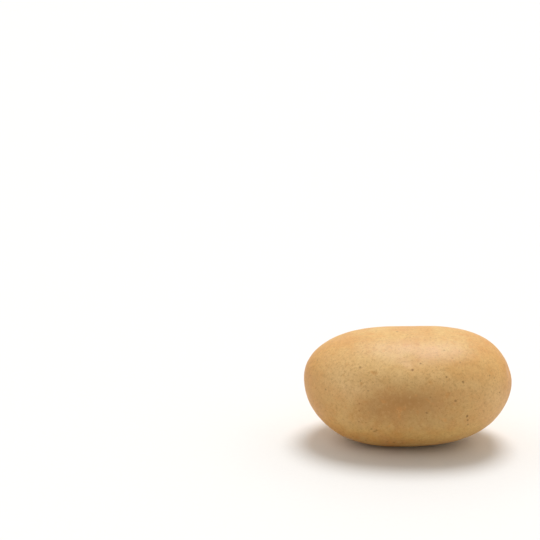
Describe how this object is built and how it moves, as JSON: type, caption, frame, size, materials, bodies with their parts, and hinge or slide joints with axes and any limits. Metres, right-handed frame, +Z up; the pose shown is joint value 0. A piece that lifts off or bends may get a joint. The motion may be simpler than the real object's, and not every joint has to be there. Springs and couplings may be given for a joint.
{
  "type": "potato",
  "caption": "Whole long-oval potato with thin tan skin, shallow eyes and fine lenticels, lying on its side on a small flat spot.",
  "frame": {"origin": "on the surface the potato lies on, below the middle of its outline box, inside the flat resting spot", "axes": "+X along the potato from the heel end (stolon scar) to the rose end, +Y from the pictured front to the back, +Z up"},
  "size_m": [0.0994, 0.0638, 0.0543],
  "materials": {
    "skin": "satin potato skin"
  },
  "bodies": {
    "root": {"potato": "skin"}
  },
  "joints": []
}
